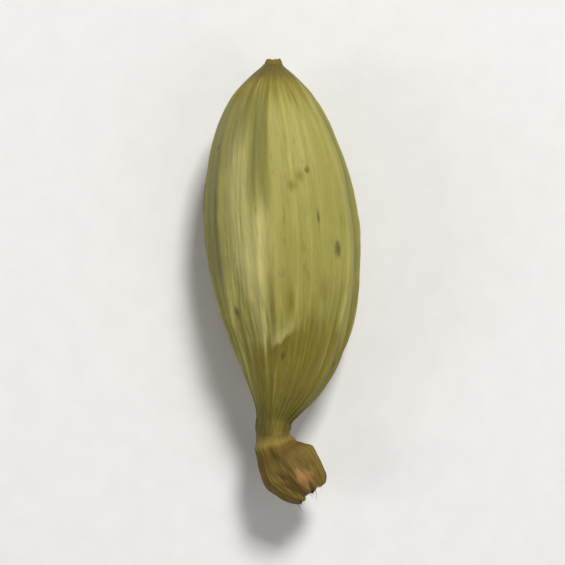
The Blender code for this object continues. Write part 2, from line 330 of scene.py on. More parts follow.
# Noises of the colours: their scale along the grain and across it, their detail and roughness.
HUSK_STREAKS = (0.35, 4.5, 4.0, 0.6)
HUSK_BROAD = (0.16, 0.55, 3.0, 0.5)
HUSK_FLECKS = (2.2, 14.0, 3.0, 0.65)
HUSK_LINES = (0.5, 15.0, 2.0, 0.5)
HUSK_DASHES = (1.0, 4.2, 2.0, 0.5)
HUSK_GRIT = (6.0, 11.0, 3.0, 0.6)
FLOWER_FIBRES = (0.8, 9.0, 4.0, 0.6)
FLOWER_BLOTCHES = (0.8, 1.2, 3.0, 0.5)
STUB_FIBRES = (1.5, 22.0, 3.0, 0.6)
TORN_FIBRES = (3.0, 3.0, 3.0, 0.55)
FLOOR_MOTTLE = (900.0, 900.0, 3.0, 0.55)

# Surfaces.
HUSK_FINISH = {
    "Specular IOR Level": 0.22,
    "Subsurface Weight": 0.10,
    "Subsurface Radius": (1.0, 0.8, 0.25),
    "Subsurface Scale": 0.0003,
    "Sheen Weight": 0.05,
    "Sheen Roughness": 0.5,
}
FLOWER_FINISH = {"Specular IOR Level": 0.22}
STUB_FINISH = {"Specular IOR Level": 0.2, "Roughness": 0.8}
FIBRE_FINISH = {"Roughness": 0.7}
FLOOR_FINISH = {"Roughness": 0.8}


def smoothstep(low, high, value):
    """0 below low, 1 above high, and smooth between."""
    share = np.clip((value - low) / (high - low), 0.0, 1.0)
    return share * share * (3.0 - 2.0 * share)


def between(rise, fall, value):
    """1 between two smooth changes, 0 before the rise and after the fall."""
    return smoothstep(*rise, value) * (1.0 - smoothstep(*fall, value))


def angle_between(a, b):
    """The signed angle from b to a, within half a turn."""
    return (a - b + math.pi) % (2.0 * math.pi) - math.pi


def bump(value, middle, half_width):
    """1 at the middle, falling away on both sides."""
    return np.exp(-(((value - middle) / half_width) ** 2))


def noise(along, around, cells, draw):
    """Smooth noise from -1 to 1. along runs from 0 to 1, and around too, where it joins up.
    cells is the number of cells along and around. Each column of cells has its own phase."""
    rows, columns = cells
    values = draw.uniform(-1.0, 1.0, (rows + 3, columns))
    phases = draw.uniform(0.0, 1.0, columns)
    place = (around % 1.0) * columns
    first = np.floor(place).astype(int)
    blend = place - first
    blend = blend * blend * (3.0 - 2.0 * blend)
    total = np.zeros_like(blend)
    for column, weight in ((first % columns, 1.0 - blend), ((first + 1) % columns, blend)):
        height = np.clip(along, 0.0, 1.0) * rows + phases[column]
        row = np.floor(height).astype(int)
        part = height - row
        part = part * part * (3.0 - 2.0 * part)
        total += weight * (values[row, column] * (1.0 - part) + values[row + 1, column] * part)
    return total


def layer(kind, along, around, draw):
    """Smooth noise of one kind: its height, then the number of cells along and around."""
    height, rows, columns = kind
    return height * noise(along, around, (rows, columns), draw)


def heading(s):
    """Direction of the spine in plan, as an angle from +X."""
    share = np.clip(s / BODY_LENGTH, 0.0, 1.0)
    bowed = BOW * math.pi * 2.0 * share / BODY_LENGTH * np.cos(math.pi * share**2)
    hook = smoothstep(HOOK_START, HOOK_END, s)
    return bowed * (1.0 - hook) + HOOK_ANGLE * hook


def spine_frames(s):
    """Centre, along, side and up directions at each arc length in s, measured from the base."""
    fine = np.linspace(-SCAR_LENGTH, FLOWER_END, 1200)
    step = fine[1] - fine[0]
    angle = heading(fine)
    x = -SCAR_LENGTH + np.concatenate([[0.0], np.cumsum(np.cos(angle[:-1]) * step)])
    y = np.concatenate([[0.0], np.cumsum(np.sin(angle[:-1]) * step)])
    z = -DROOP * (np.maximum(fine, 0.0) / NECK_END) ** 4
    centre = np.stack([np.interp(s, fine, axis) for axis in (x, y, z)], axis=-1)
    slope = np.interp(s, fine, np.gradient(z, step))
    turn = heading(s)
    along = np.stack([np.cos(turn), np.sin(turn), slope], axis=-1)
    along /= np.linalg.norm(along, axis=-1, keepdims=True)
    side = np.stack([-np.sin(turn), np.cos(turn), np.zeros_like(turn)], axis=-1)
    return centre, along, side, np.cross(along, side)


def place_on_spine(s, radius, angle, flattened=1.0):
    """Points at a distance and direction from the spine, at arc lengths s."""
    centre, along, side, up = spine_frames(s)
    sideways = (radius * np.cos(angle))[..., None] * side
    upward = (radius * flattened * np.sin(angle))[..., None] * up
    return centre + sideways + upward


def body_radius(s):
    """Half the width of the swelling body, scar and neck at arc length s."""
    share = np.clip(s / BODY_LENGTH, 0.0, 1.0)
    widest = BASE_FULLNESS / (BASE_FULLNESS + NECK_TAPER)
    peak = widest**BASE_FULLNESS * (1.0 - widest) ** NECK_TAPER
    swell = share**BASE_FULLNESS * (1.0 - share) ** NECK_TAPER / peak
    belly = swell * BELLY_WIDTH / 2.0
    scar = SCAR_RADIUS * (1.0 - smoothstep(*SCAR_BLEND, s))
    scar *= np.sqrt(1.0 - 0.6 * np.clip(-s / SCAR_LENGTH, 0.0, 1.0) ** 3)
    neck = NECK_RADIUS * smoothstep(*NECK_BLEND, s / BODY_LENGTH)
    return (belly**3 + scar**3 + neck**3) ** (1.0 / 3.0)


def flower_radius(s):
    """Half the width of the withered flower: a collar, a flare, then a rim drawn in a little."""
    beyond = s - NECK_END
    collar = COLLAR_HEIGHT * bump(beyond, COLLAR_PLACE, COLLAR_WIDTH)
    flare = (REMNANT_RADIUS - NECK_RADIUS) * smoothstep(0.1 * MM, FLARE_LENGTH, beyond)
    drawn_in = np.sqrt(1.0 - (1.0 - RIM_WIDTH**2) * np.clip(beyond / REMNANT_LENGTH, 0.0, 1.0) ** 5)
    return (NECK_RADIUS + collar + flare) * drawn_in


def rib_draws():
    """How high each rib stands, and how far it stands from its even place. Three keels are highest."""
    draw = np.random.default_rng(RIB_SEED)
    heights = draw.uniform(RIB_LOW, RIB_HIGH, RIBS)
    heights[list(KEEL_RIBS)] = KEEL_HEIGHT
    return heights, draw.uniform(-RIB_SHIFT, RIB_SHIFT, RIBS)


def skin_angle(s, rib):
    """The direction that the skin faces: ribs are unevenly spaced, wander, and turn round the pod."""
    shifts = rib_draws()[1]
    placed = rib + np.interp(rib % RIBS, np.arange(RIBS + 1), np.append(shifts, shifts[0]))
    turn = 2.0 * math.pi * placed / RIBS
    wander = RIB_WANDER * np.sin(2.0 * math.pi * s / RIB_WAVE + 2.0 * np.sin(turn))
    return turn + wander + TWIST * s / BODY_LENGTH


def grooves(s, angle):
    """1 in the middle of each groove, 0 away from them and where they have died out."""
    depth = np.zeros_like(angle)
    for groove, reach in zip(GROOVE_ANGLES, GROOVE_REACH):
        dying = smoothstep(reach - GROOVE_FADING, reach + GROOVE_FADING, s)
        depth += bump(angle_between(angle, groove), 0.0, GROOVE_WIDTH) * (1.0 - dying)
    return depth


def lobed(s, angle):
    """The cross-section's outline, as a share of its radius: three lobes with a groove beside each."""
    outline = np.full_like(angle, 1.0 - 0.45 * LOBE_HEIGHT)
    for lobe in LOBE_ANGLES:
        outline += LOBE_HEIGHT * np.exp(LOBE_TIGHTNESS * (np.cos(angle - lobe) - 1.0))
    return outline - GROOVE_DEPTH * grooves(s, angle)


def seed_mounds(s, angle):
    """Low mounds where the seeds under each lobe press the skin out."""
    draw = np.random.default_rng(MOUND_SEED)
    first, last = SEED_ROW
    mounds = np.zeros_like(angle)
    for lobe in LOBE_ANGLES:
        for number in range(SEEDS_PER_LOBE):
            share = (number + draw.uniform(0.2, 0.8)) / SEEDS_PER_LOBE
            place = BODY_LENGTH * (first + (last - first) * share)
            aside = lobe + draw.uniform(-SEED_SCATTER, SEED_SCATTER)
            mound = bump(s, place, SEED_LENGTH) * bump(angle_between(angle, aside), 0.0, SEED_WIDTH)
            mounds += SEED_MOUND * draw.uniform(0.4, 1.0) * mound
    return mounds


def rib_pattern(rib, heights, half_width, offset=0.0):
    """Height of a ridge at each whole number of rib, moved by offset."""
    pattern = np.zeros_like(rib)
    for number, height in enumerate(heights):
        across = (rib - number - offset + RIBS / 2.0) % RIBS - RIBS / 2.0
        pattern += height * bump(across, 0.0, half_width)
    return pattern


def body_span(s):
    """1 where the lobes and mounds are full, fading to 0 at the scar and the neck."""
    return between(LOBES_GROW, LOBES_FADE, s / BODY_LENGTH)


def fine_relief(s, rib):
    """Sharp ridges, veins, striae, wrinkles and dents on the husk, as a height over the solid's form."""
    draw = np.random.default_rng(RELIEF_SEED)
    share = np.clip(s / NECK_END, 0.0, 1.0)
    around = rib / RIBS
    sway = layer(RIDGE_SWAY, share, around, draw)
    ridge_strength = RIDGE_STRENGTH + layer(RIDGE_CHANGES, share, around, draw)
    ridges = RIDGE_HEIGHT * ridge_strength * rib_pattern(rib + sway, rib_draws()[0], RIDGE_HALF_WIDTH)
    vein_strength = VEIN_STRENGTH + layer(VEIN_CHANGES, share, around, draw)
    vein_heights = draw.uniform(0.4, 1.0, RIBS)
    veins = VEIN_HEIGHT * np.clip(vein_strength, 0.0, STRONGEST_VEIN)
    veins = veins * rib_pattern(rib + VEIN_SWAY * sway, vein_heights, VEIN_HALF_WIDTH, offset=0.5)
    relief = ridges + veins
    for kind in (STRIAE, FINE_STRIAE, WRINKLES, DENTS):
        relief = relief + layer(kind, share, around + GRAIN_TURN * share, draw)
    near_ends = 1.0 - RIPPLES_LOWERED * body_span(s)
    relief = relief + near_ends * layer(RIPPLES, share, around, draw)
    return relief * (1.0 - SMOOTHING * wax_mask(s))


def flap(s, angle):
    """The small torn flap across the top, as a share of its height, and the shade under its edge."""
    across = angle_between(angle, FLAP_ANGLE) / FLAP_WIDTH
    beyond = s - FLAP_PLACE - FLAP_SLANT * across
    beyond = beyond - FLAP_WAVE * (np.sin(4.0 * across + 0.6) + 0.5 * np.sin(9.0 * across))
    fading = np.exp(-(across**4)) * (0.75 + 0.25 * np.tanh(2.0 * across))
    slope = bump(beyond, 0.0, np.where(beyond < 0.0, FLAP_RISE, FLAP_FALL))
    return slope * fading, bump(beyond, *FLAP_SHADE) * fading


def slit(s, angle):
    """The thin furrow on the left shoulder and its lip, 0 to 1; the furrow is painted shade, the lip a
    painted highlight.
    """
    aside = angle_between(angle, SLIT_ANGLE + SLIT_LEAN * (s - SLIT_PLACE) / MM)
    along = np.exp(-(((s - SLIT_PLACE) / SLIT_LENGTH) ** 4))
    return bump(aside, 0.0, SLIT_WIDTH) * along, bump(aside, LIP_ASIDE, LIP_WIDTH) * along


def husk_radius(s, rib, fine):
    """Distance of the husk's skin from the spine, and the direction that it faces."""
    angle = skin_angle(s, rib)
    span = body_span(s)
    shape = 1.0 + span * (lobed(s, angle) - 1.0 + seed_mounds(s, angle))
    smooth = body_radius(s)
    ribbed = between(RIBS_GROW, RIBS_FADE, s)
    rib_share = ribbed * (smooth / (BELLY_WIDTH / 2.0)) ** RIB_THINNING
    radius = smooth * shape + RIB_HEIGHT * rib_share * rib_pattern(rib, rib_draws()[0], RIB_HALF_WIDTH)
    if fine:
        furrow, lip = slit(s, angle)
        torn = FLAP_HEIGHT * flap(s, angle)[0] + LIP_HEIGHT * lip - SLIT_DEPTH * furrow
        radius = radius + rib_share * (fine_relief(s, rib) + torn)
    return radius, angle


def husk_points(s, rib, fine=True):
    """Points of the husk's skin, and the direction that each faces."""
    radius, angle = husk_radius(s, rib, fine)
    flattened = 1.0 - (1.0 - BELLY_FLATTENING) * body_span(s)
    return place_on_spine(s, radius, angle, flattened), angle


def flower_points(s, around, inset=0.0, fine=True):
    """Points on the withered flower, or inset into it, with its folds and its torn rim."""
    draw = np.random.default_rng(FLOWER_SEED)
    turn = 2.0 * math.pi * around
    angle = skin_angle(s, around * RIBS)
    share = (s - NECK_END) / REMNANT_LENGTH
    shape = FOLD_DEPTH * np.sin(FOLDS * angle + 0.9) + FINE_FOLD_DEPTH * np.sin(FINE_FOLDS * angle)
    ragged = sum(height * np.sin(waves * turn + phase) for waves, height, phase in RIM_WAVES)
    if fine:
        for crumple in CRUMPLES:
            shape = shape + layer(crumple, share, around, draw)
        ragged = ragged + layer(RIM_TEARS, 0.0 * share, around, draw)
    radius = flower_radius(s) * (1.0 + smoothstep(*FOLDS_GROW, s) * shape) - inset
    near_end = smoothstep(NECK_END + 0.5 * REMNANT_LENGTH, FLOWER_END, s)
    outward = spine_frames(np.array([FLOWER_END]))[1][0]
    return place_on_spine(s, radius, angle) + (RIM_RAGGEDNESS * near_end * ragged)[..., None] * outward


def rings(stations, count, top=1.0):
    """Arc length and place around, from 0 to top, for count points at each station."""
    return np.meshgrid(stations, top * np.arange(count) / count, indexing="ij")


def resting_place():
    """The floor's height and the middle of the pod's outline, before the pod is set down."""
    along_body = np.linspace(-SCAR_LENGTH, NECK_END, 60)
    along_flower = np.linspace(NECK_END, FLOWER_END, 16)
    body = husk_points(*rings(along_body, 4 * RIBS, RIBS), fine=False)[0]
    flower = flower_points(*rings(along_flower, 4 * RIBS), fine=False)
    every = np.concatenate([body.reshape(-1, 3), flower.reshape(-1, 3)])
    middle = (every.min(axis=0) + every.max(axis=0)) / 2.0
    return np.array([middle[0], middle[1], every[:, 2].min() + FLAT_SPOT_DEPTH])


def set_down(points, place):
    """Moves points to the pod's own origin, and eases the underside onto the floor."""
    moved = points - place
    ease = 0.012 * MM
    moved[..., 2] = 0.5 * (moved[..., 2] + np.sqrt(moved[..., 2] ** 2 + ease**2))
    return moved


def with_ends(values):
    """The values on rings of points in one row, then the means of the first and the last ring."""
    flat = values.reshape(-1, *values.shape[2:])
    return np.concatenate([flat, [values[0].mean(axis=0)], [values[-1].mean(axis=0)]])


def tube_faces(count, around, first):
    """Faces of a closed tube of rings, whose points are numbered from first."""
    index = first + np.arange(count * around).reshape(count, around)
    there = np.roll(index, -1, axis=1)
    quads = np.stack([index[:-1], there[:-1], there[1:], index[1:]], axis=-1).reshape(-1, 4)
    centre = first + count * around
    start = np.stack([there[0], index[0], np.full(around, centre)], axis=-1)
    end = np.stack([index[-1], there[-1], np.full(around, centre + 1)], axis=-1)
    return quads.tolist() + start.tolist() + end.tolist()


def tube_mesh(name, tubes, material, attributes):
    """One mesh of closed tubes, each a stack of rings of points, with values stored on the points."""
    faces = []
    first = 0
    for tube in tubes:
        faces += tube_faces(*tube.shape[:2], first)
        first += tube.shape[0] * tube.shape[1] + 2
    mesh = bpy.data.meshes.new(name)
    mesh.from_pydata(np.concatenate([with_ends(tube) for tube in tubes]).tolist(), [], faces)
    for label, values in attributes.items():
        every = np.concatenate([with_ends(value) for value in values])
        kind, field = ("FLOAT_VECTOR", "vector") if every.ndim == 2 else ("FLOAT", "value")
        stored = mesh.attributes.new(label, kind, "POINT")
        stored.data.foreach_set(field, every.astype(np.float32).ravel())
    mesh.shade_smooth()
    mesh.materials.append(material)
    thing = bpy.data.objects.new(name, mesh)
    bpy.context.scene.collection.objects.link(thing)
    return thing


def new_material(name, finish):
    """A material whose shader has the inputs in finish, its node tree and its shader."""
    material = bpy.data.materials.new(name)
    material.use_nodes = True
    tree = material.node_tree
    shader = tree.nodes["Principled BSDF"]
    for label, value in finish.items():
        shader.inputs[label].default_value = value
    return material, tree, shader


def node(tree, kind, settings=None, **inputs):
    """A new node. An input given as a socket is linked, and any other value is set."""
    made = tree.nodes.new(kind)
    for label, value in (settings or {}).items():
        setattr(made, label, value)
    for label, value in inputs.items():
        socket = made.inputs[int(label[1:])] if label[1:].isdigit() else made.inputs[label]
        if isinstance(value, bpy.types.NodeSocket):
            tree.links.new(value, socket)
        else:
            socket.default_value = value
    return made


def attribute(tree, name):
    """The socket of a number stored on the mesh's points."""
    return node(tree, "ShaderNodeAttribute", {"attribute_name": name}).outputs["Fac"]


def grain_of(tree):
    """The socket of the grain's place, stored on the mesh's points."""
    return node(tree, "ShaderNodeAttribute", {"attribute_name": "grain"}).outputs["Vector"]


def summed(tree, first, second):
    """first plus second."""
    return node(tree, "ShaderNodeMath", {"operation": "ADD"}, i0=first, i1=second).outputs[0]


def product(tree, first, second):
    """first times second."""
    return node(tree, "ShaderNodeMath", {"operation": "MULTIPLY"}, i0=first, i1=second).outputs[0]


def mapped(tree, value, low, high, out_low=0.0, out_high=1.0):
    """value moved from low..high to out_low..out_high, smoothly and no further."""
    made = node(tree, "ShaderNodeMapRange", {"interpolation_type": "SMOOTHSTEP"}, Value=value)
    limits = {"From Min": low, "From Max": high, "To Min": out_low, "To Max": out_high}
    for label, number in limits.items():
        made.inputs[label].default_value = number
    return made.outputs["Result"]


def mixed(tree, share, first, second):
    """first where share is 0, second where it is 1. Both are colours or colour sockets."""
    made = node(tree, "ShaderNodeMix", {"data_type": "RGBA"}, i0=share)
    for socket, colour in ((made.inputs[6], first), (made.inputs[7], second)):
        if isinstance(colour, bpy.types.NodeSocket):
            tree.links.new(colour, socket)
        else:
            socket.default_value = (*colour, 1.0)
    return made.outputs[2]


def noise_over(tree, vector, along, across, detail, roughness):
    """Blender's own noise over a vector stretched along the grain and across it."""
    scale = (along, across, across)
    stretched = node(tree, "ShaderNodeVectorMath", {"operation": "MULTIPLY"}, i0=vector, i1=scale)
    place = stretched.outputs[0]
    made = node(tree, "ShaderNodeTexNoise", Vector=place, Scale=1.0, Detail=detail, Roughness=roughness)
    return made.outputs["Fac"]


def add_bump(tree, shader, height, strength, distance):
    """Very fine relief from a height, on the shader's normal."""
    made = node(tree, "ShaderNodeBump", Strength=strength, Distance=distance, Height=height)
    tree.links.new(made.outputs["Normal"], shader.inputs["Normal"])


def husk_material():
    """The husk: straw-coloured ribs on green skin, olive towards the neck, with streaks and specks."""
    material, tree, shader = new_material("husk", HUSK_FINISH)
    grain = grain_of(tree)
    streaks = noise_over(tree, grain, *HUSK_STREAKS)
    broad = noise_over(tree, grain, *HUSK_BROAD)
    flecks = noise_over(tree, grain, *HUSK_FLECKS)
    lines = noise_over(tree, grain, *HUSK_LINES)
    dashes = noise_over(tree, grain, *HUSK_DASHES)
    grit = noise_over(tree, grain, *HUSK_GRIT)
    rib = attribute(tree, "rib")
    base = mixed(tree, mapped(tree, rib, 0.0, 0.85), VALLEY, SKIN)
    pale = product(tree, mapped(tree, rib, 0.55, 1.5), mapped(tree, streaks, 0.30, 0.62, 0.0, 0.8))
    base = mixed(tree, pale, base, STRAW)
    base = mixed(tree, mapped(tree, streaks, 0.42, 0.78, 0.0, 0.6), base, STRAW)
    base = mixed(tree, mapped(tree, broad, 0.36, 0.62, 0.0, 0.55), base, VALLEY)
    wax = attribute(tree, "wax")
    bare = mapped(tree, wax, 0.0, 1.0, 1.0, 0.45)
    base = mixed(tree, product(tree, wax, 0.55), base, WAXY)
    # Painted shade on the left side and at the base.
    base = mixed(tree, attribute(tree, "shade"), base, PAINTED_SHADE)
    # A painted highlight on the left shoulder.
    painted_shoulder_highlight = product(tree, attribute(tree, "painted_shoulder_highlight"), mapped(tree, streaks, 0.25, 0.6, 0.6, 0.95))
    base = mixed(tree, painted_shoulder_highlight, base, PAINTED_SHOULDER_HIGHLIGHT)
    # A painted highlight line down the left shoulder.
    painted_crest_highlight = product(tree, attribute(tree, "painted_crest_highlight"), mapped(tree, streaks, 0.25, 0.6, 0.7, 1.0))
    base = mixed(tree, painted_crest_highlight, base, PAINTED_CREST_HIGHLIGHT)
    # A painted highlight over the top.
    painted_top_highlight = product(tree, attribute(tree, "painted_top_highlight"), mapped(tree, streaks, 0.25, 0.6, 0.3, 0.9))
    base = mixed(tree, painted_top_highlight, base, STRAW)
    # Painted shade in the grooves.
    base = mixed(tree, attribute(tree, "groove"), base, GROOVE)
    base = mixed(tree, product(tree, mapped(tree, lines, 0.55, 0.72, 0.0, 0.40), bare), base, STRAW)
    base = mixed(tree, product(tree, mapped(tree, lines, 0.44, 0.28, 0.0, 0.35), bare), base, GROOVE)
    base = mixed(tree, mapped(tree, dashes, 0.62, 0.72, 0.0, 0.35), base, OLIVE)
    base = mixed(tree, mapped(tree, flecks, 0.62, 0.80, 0.0, 0.30), base, OLIVE)
    # The olive also carries painted shade under the flap's edge, in the slit's furrow and partly at the
    # base.
    olive = summed(tree, attribute(tree, "olive"), mapped(tree, streaks, 0.35, 0.7, -0.34, 0.34))
    base = mixed(tree, mapped(tree, olive, 0.2, 0.95, 0.0, 0.85), base, OLIVE)
    streak = product(tree, attribute(tree, "streak"), mapped(tree, streaks, 0.25, 0.60, 0.35, 0.75))
    base = mixed(tree, streak, base, OLIVE)
    # The pale torn flap, and the slit's lip painted pale as a highlight.
    torn = product(tree, attribute(tree, "flap"), mapped(tree, flecks, 0.3, 0.6, 0.45, 0.9))
    base = mixed(tree, torn, base, STRAW)
    brown = summed(tree, attribute(tree, "brown"), mapped(tree, flecks, 0.3, 0.7, -0.25, 0.25))
    base = mixed(tree, mapped(tree, brown, 0.2, 0.9), base, NECK_BROWN)
    speck = product(tree, attribute(tree, "speck"), mapped(tree, grit, 0.30, 0.60, 0.65, 1.10))
    base = mixed(tree, mapped(tree, speck, 0.20, 0.95, 0.0, 0.74), base, SPECK)
    tree.links.new(base, shader.inputs["Base Color"])
    tree.links.new(mapped(tree, streaks, 0.2, 0.8, 0.48, 0.70), shader.inputs["Roughness"])
    add_bump(tree, shader, summed(tree, flecks, lines), 0.45, 0.02 * MM)
    return material


def flower_material():
    """The withered flower: fibrous brown, with a tan collar, a dark band and a paler patch."""
    material, tree, shader = new_material("withered_flower", FLOWER_FINISH)
    grain = grain_of(tree)
    fibres = noise_over(tree, grain, *FLOWER_FIBRES)
    blotches = noise_over(tree, grain, *FLOWER_BLOTCHES)
    base = mixed(tree, mapped(tree, fibres, 0.3, 0.7), UMBER, ASH)
    base = mixed(tree, mapped(tree, blotches, 0.40, 0.65, 0.0, 0.6), base, ASH)
    base = mixed(tree, attribute(tree, "band"), base, BAND)
    collar = product(tree, attribute(tree, "collar"), mapped(tree, fibres, 0.25, 0.6, 0.35, 1.0))
    base = mixed(tree, collar, base, TAN)
    torn = summed(tree, attribute(tree, "patch"), mapped(tree, blotches, 0.35, 0.65, -0.30, 0.30))
    patch = product(tree, mapped(tree, torn, 0.30, 0.75), mapped(tree, fibres, 0.25, 0.65, 0.35, 0.95))
    base = mixed(tree, patch, base, PINK)
    tree.links.new(base, shader.inputs["Base Color"])
    tree.links.new(mapped(tree, fibres, 0.2, 0.8, 0.6, 0.85), shader.inputs["Roughness"])
    add_bump(tree, shader, fibres, 0.5, 0.03 * MM)
    return material


def stub_material():
    """The stub of the stalk: tan fibres round a dark dish."""
    material, tree, shader = new_material("stalk_stub", STUB_FINISH)
    fibres = noise_over(tree, grain_of(tree), *STUB_FIBRES)
    base = mixed(tree, mapped(tree, fibres, 0.3, 0.65), NECK_BROWN, ASH)
    base = mixed(tree, attribute(tree, "dish"), base, UMBER)
    tree.links.new(base, shader.inputs["Base Color"])
    return material


def fibre_material():
    """The torn fibres: dry and straw-coloured."""
    material, tree, shader = new_material("torn_fibres", FIBRE_FINISH)
    shade = noise_over(tree, grain_of(tree), *TORN_FIBRES)
    base = mixed(tree, mapped(tree, shade, 0.35, 0.65), ASH, TAN)
    tree.links.new(base, shader.inputs["Base Color"])
    return material


def floor_material():
    """A plain pale tabletop."""
    material, tree, shader = new_material("pale_floor", FLOOR_FINISH)
    place = node(tree, "ShaderNodeTexCoord").outputs["Object"]
    mottle = noise_over(tree, place, *FLOOR_MOTTLE)
    base = mixed(tree, mapped(tree, mottle, 0.3, 0.7), FLOOR_DARKER, FLOOR_PALER)
    tree.links.new(base, shader.inputs["Base Color"])
    return material


def grain_vector(s, rib):
    """Where a point is in the pod's grain: millimetres along it, and a circle round it."""
    turn = 2.0 * math.pi * rib / RIBS
    radius = BELLY_WIDTH / 2.0 / MM
    return np.stack([s / MM, radius * np.cos(turn), radius * np.sin(turn)], axis=-1)


def marks(spots, s, angle):
    """1 in the middle of each mark, falling to 0 at its edge."""
    mask = np.zeros_like(s)
    for place, faces, length, width in spots:
        across = angle_between(angle, math.radians(faces)) * body_radius(s)
        mask = np.maximum(mask, bump(s, place, length) * bump(across, 0.0, width))
    return mask


def facing(angle, degrees, half_width):
    """1 where the skin faces a direction, falling away on both sides."""
    return bump(angle_between(angle, math.radians(degrees)), 0.0, math.radians(half_width))


def groove_shade_mask(s, angle):
    """Painted shade in the bottoms of the grooves."""
    return GROOVE_DARKNESS * grooves(s, angle) ** 0.7 * smoothstep(*GROOVE_BEGINS, s)


def wax_mask(s):
    """The waxy coat that evens out the colours, except at both ends."""
    return between(*WAX_ALONG, s)


def painted_shade_mask(s, angle):
    """Painted shade on the pod's left side, widest at the base."""
    begins = SHADE_BEGINS + SHADE_NARROWING * smoothstep(*SHADE_NARROWS, s)
    sideways = between((begins - 5.0, begins + 6.0), SHADE_FADES, np.degrees(angle) % 360.0)
    return SHADE_STRENGTH * sideways * between(*SHADE_ALONG, s)


def painted_shoulder_highlight_mask(s, angle):
    """A painted highlight, paler and greyer, on the left shoulder."""
    shoulder = between(*PAINTED_SHOULDER_HIGHLIGHT_AROUND, np.degrees(angle) % 360.0)
    return PAINTED_SHOULDER_HIGHLIGHT_STRENGTH * shoulder * between(*PAINTED_SHOULDER_HIGHLIGHT_ALONG, s)


def painted_crest_highlight_mask(s, angle):
    """A painted highlight: the palest line, which runs down the shoulder from where the top groove dies
    out.
    """
    leaning = np.clip(s - CREST_LEANS_FROM, 0.0, CREST_LEANING_LENGTH) / MM
    line = bump(np.degrees(angle) % 360.0, CREST_ANGLE + CREST_LEAN * leaning, CREST_HALF_WIDTH)
    return PAINTED_CREST_HIGHLIGHT_STRENGTH * line * between(*CREST_ALONG, s)


def painted_top_highlight_mask(s, angle):
    """A painted highlight on the ridge from the base over the top, right of the groove."""
    return PAINTED_TOP_HIGHLIGHT_STRENGTH * facing(angle, *CROWN_FACES) * between(*CROWN_ALONG, s)


def olive_mask(s, rib, angle):
    """Pale skin giving way to olive at the base, partly painted shadow, and below a ragged edge near the
    neck.
    """
    draw = np.random.default_rng(EDGE_SEED)
    ragged = sum(layer(kind, s / NECK_END, rib / RIBS, draw) for kind in OLIVE_EDGE)
    lean = OLIVE_LEAN * np.cos(angle - OLIVE_LEANS_TO)
    on_top = 0.5 + 0.5 * np.cos(angle - OLIVE_DARKEST_AT)
    below = smoothstep(*OLIVE_NEAR_NECK, s + ragged + lean) * (OLIVE_LEAST + OLIVE_MORE_ON_TOP * on_top)
    hint = OLIVE_HINT_STRENGTH * smoothstep(*OLIVE_HINT, s + lean)
    # Olive at the base, partly painted shadow.
    olive_and_painted_shadow_at_base = OLIVE_AND_PAINTED_SHADOW_STRENGTH * (1.0 - smoothstep(*OLIVE_AND_PAINTED_SHADOW_AT_BASE, s + 0.5 * ragged))
    return np.maximum(np.maximum(olive_and_painted_shadow_at_base, below), hint)


def brown_mask(s, angle):
    """Brown at the base's tip and the neck's end, less brown along the neck's top as a painted
    highlight.
    """
    at_tip = BROWN_STRENGTH * (1.0 - smoothstep(*BROWN_TIP, s))
    at_neck = smoothstep(*BROWN_NECK, s)
    # Less brown along the neck's top, as a painted highlight.
    painted_neck_highlight = PAINTED_NECK_HIGHLIGHT_STRENGTH * facing(angle, *PAINTED_NECK_HIGHLIGHT_FACES)
    return np.maximum(at_tip, at_neck * (BROWN_STRENGTH - painted_neck_highlight))


def make_husk(place):
    """The husk, from the stub of the stalk to the end of the neck."""
    even = np.linspace(0.0, 1.0, BODY_RINGS)
    closer_at_ends = 0.5 - 0.5 * np.cos(math.pi * even)
    stations = NECK_END * (BUNCHING * closer_at_ends + (1.0 - BUNCHING) * even)
    s, rib = rings(stations, RIBS * POINTS_PER_RIB, RIBS)
    points, angle = husk_points(s, rib)
    pale_flap, painted_shade_under_flap = flap(s, angle)
    furrow, lip = slit(s, angle)
    attributes = {
        "grain": [grain_vector(s, rib)],
        "rib": [rib_pattern(rib, rib_draws()[0], RIB_COLOUR_WIDTH)],
        "groove": [groove_shade_mask(s, angle)],
        "wax": [wax_mask(s)],
        "shade": [painted_shade_mask(s, angle)],
        "painted_shoulder_highlight": [painted_shoulder_highlight_mask(s, angle)],
        "painted_crest_highlight": [painted_crest_highlight_mask(s, angle)],
        "painted_top_highlight": [painted_top_highlight_mask(s, angle)],
        # Olive, plus painted shade under the flap's edge and in the slit's furrow.
        "olive": [olive_mask(s, rib, angle) + 0.35 * painted_shade_under_flap + 0.6 * furrow],
        "brown": [brown_mask(s, angle)],
        # The pale torn flap, and a painted highlight on the slit's lip.
        "flap": [np.clip(1.2 * pale_flap + 0.8 * lip, 0.0, 1.0)],
        "streak": [marks(STREAKS, s, angle)],
        "speck": [marks(SPECKS, s, angle)],
    }
    return tube_mesh("pod_husk", [set_down(points, place)], husk_material(), attributes)


